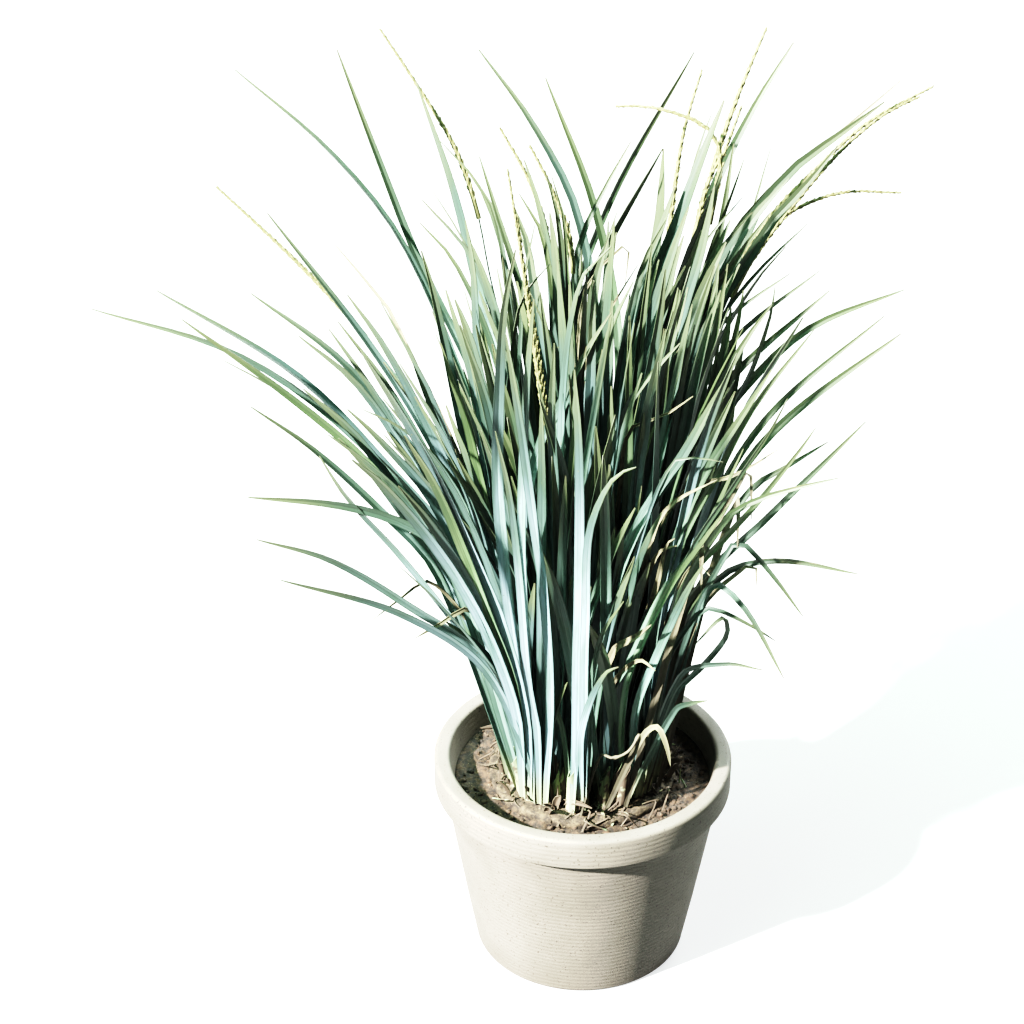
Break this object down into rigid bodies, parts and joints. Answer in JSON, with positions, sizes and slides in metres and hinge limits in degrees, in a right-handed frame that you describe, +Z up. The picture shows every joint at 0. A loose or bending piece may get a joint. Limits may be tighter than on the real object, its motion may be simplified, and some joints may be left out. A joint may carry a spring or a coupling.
{
  "type": "potted sedge",
  "caption": "Clump of arching blue-green strap leaves with slender flower spikes, rooted in a plain round tapered pot of soil.",
  "frame": {"origin": "centre of the pot's flat base, on the surface that the pot stands on", "axes": "+Z up along the pot's axis; the clump is seen from -Y with +X to the right, as in the picture"},
  "size_m": [0.524, 0.3637, 0.6085],
  "materials": {
    "stoneware": "matte",
    "soil": "matte",
    "sheath": "matte",
    "leaf": "satin",
    "spike": "matte",
    "straw": "matte"
  },
  "bodies": {
    "root": {"pot": "stoneware", "potting_soil": "soil", "rootstock": "sheath", "tiller_01": "leaf", "tiller_02": "leaf", "tiller_03": "leaf", "tiller_04": "leaf", "tiller_05": "leaf", "tiller_06": "leaf", "tiller_07": "leaf", "tiller_08": "leaf", "tiller_09": "leaf", "tiller_10": "leaf", "tiller_11": "leaf", "tiller_12": "leaf", "tiller_13": "leaf", "tiller_14": "leaf", "tiller_15": "leaf", "tiller_16": "leaf", "leaf_01": "leaf", "leaf_02": "leaf", "leaf_03": "leaf", "leaf_04": "leaf", "leaf_05": "leaf", "leaf_06": "leaf", "leaf_07": "leaf", "leaf_08": "leaf", "leaf_09": "leaf", "leaf_10": "leaf", "leaf_11": "leaf", "leaf_12": "leaf", "leaf_13": "leaf", "leaf_14": "leaf", "leaf_15": "leaf", "leaf_16": "leaf", "leaf_17": "leaf", "leaf_18": "leaf", "leaf_19": "leaf", "leaf_20": "leaf", "leaf_21": "leaf", "leaf_22": "leaf", "leaf_23": "leaf", "leaf_24": "leaf", "leaf_25": "leaf", "leaf_26": "leaf", "leaf_27": "leaf", "leaf_28": "leaf", "flower_stem_01": "spike", "flower_stem_02": "spike", "flower_stem_03": "spike", "flower_stem_04": "spike", "flower_stem_05": "spike", "flower_stem_06": "spike", "flower_stem_07": "spike", "dead_leaf_01": "straw", "dead_leaf_02": "straw", "dead_leaf_03": "straw", "dry_runner": "straw", "old_sheath": "sheath"}
  },
  "joints": []
}
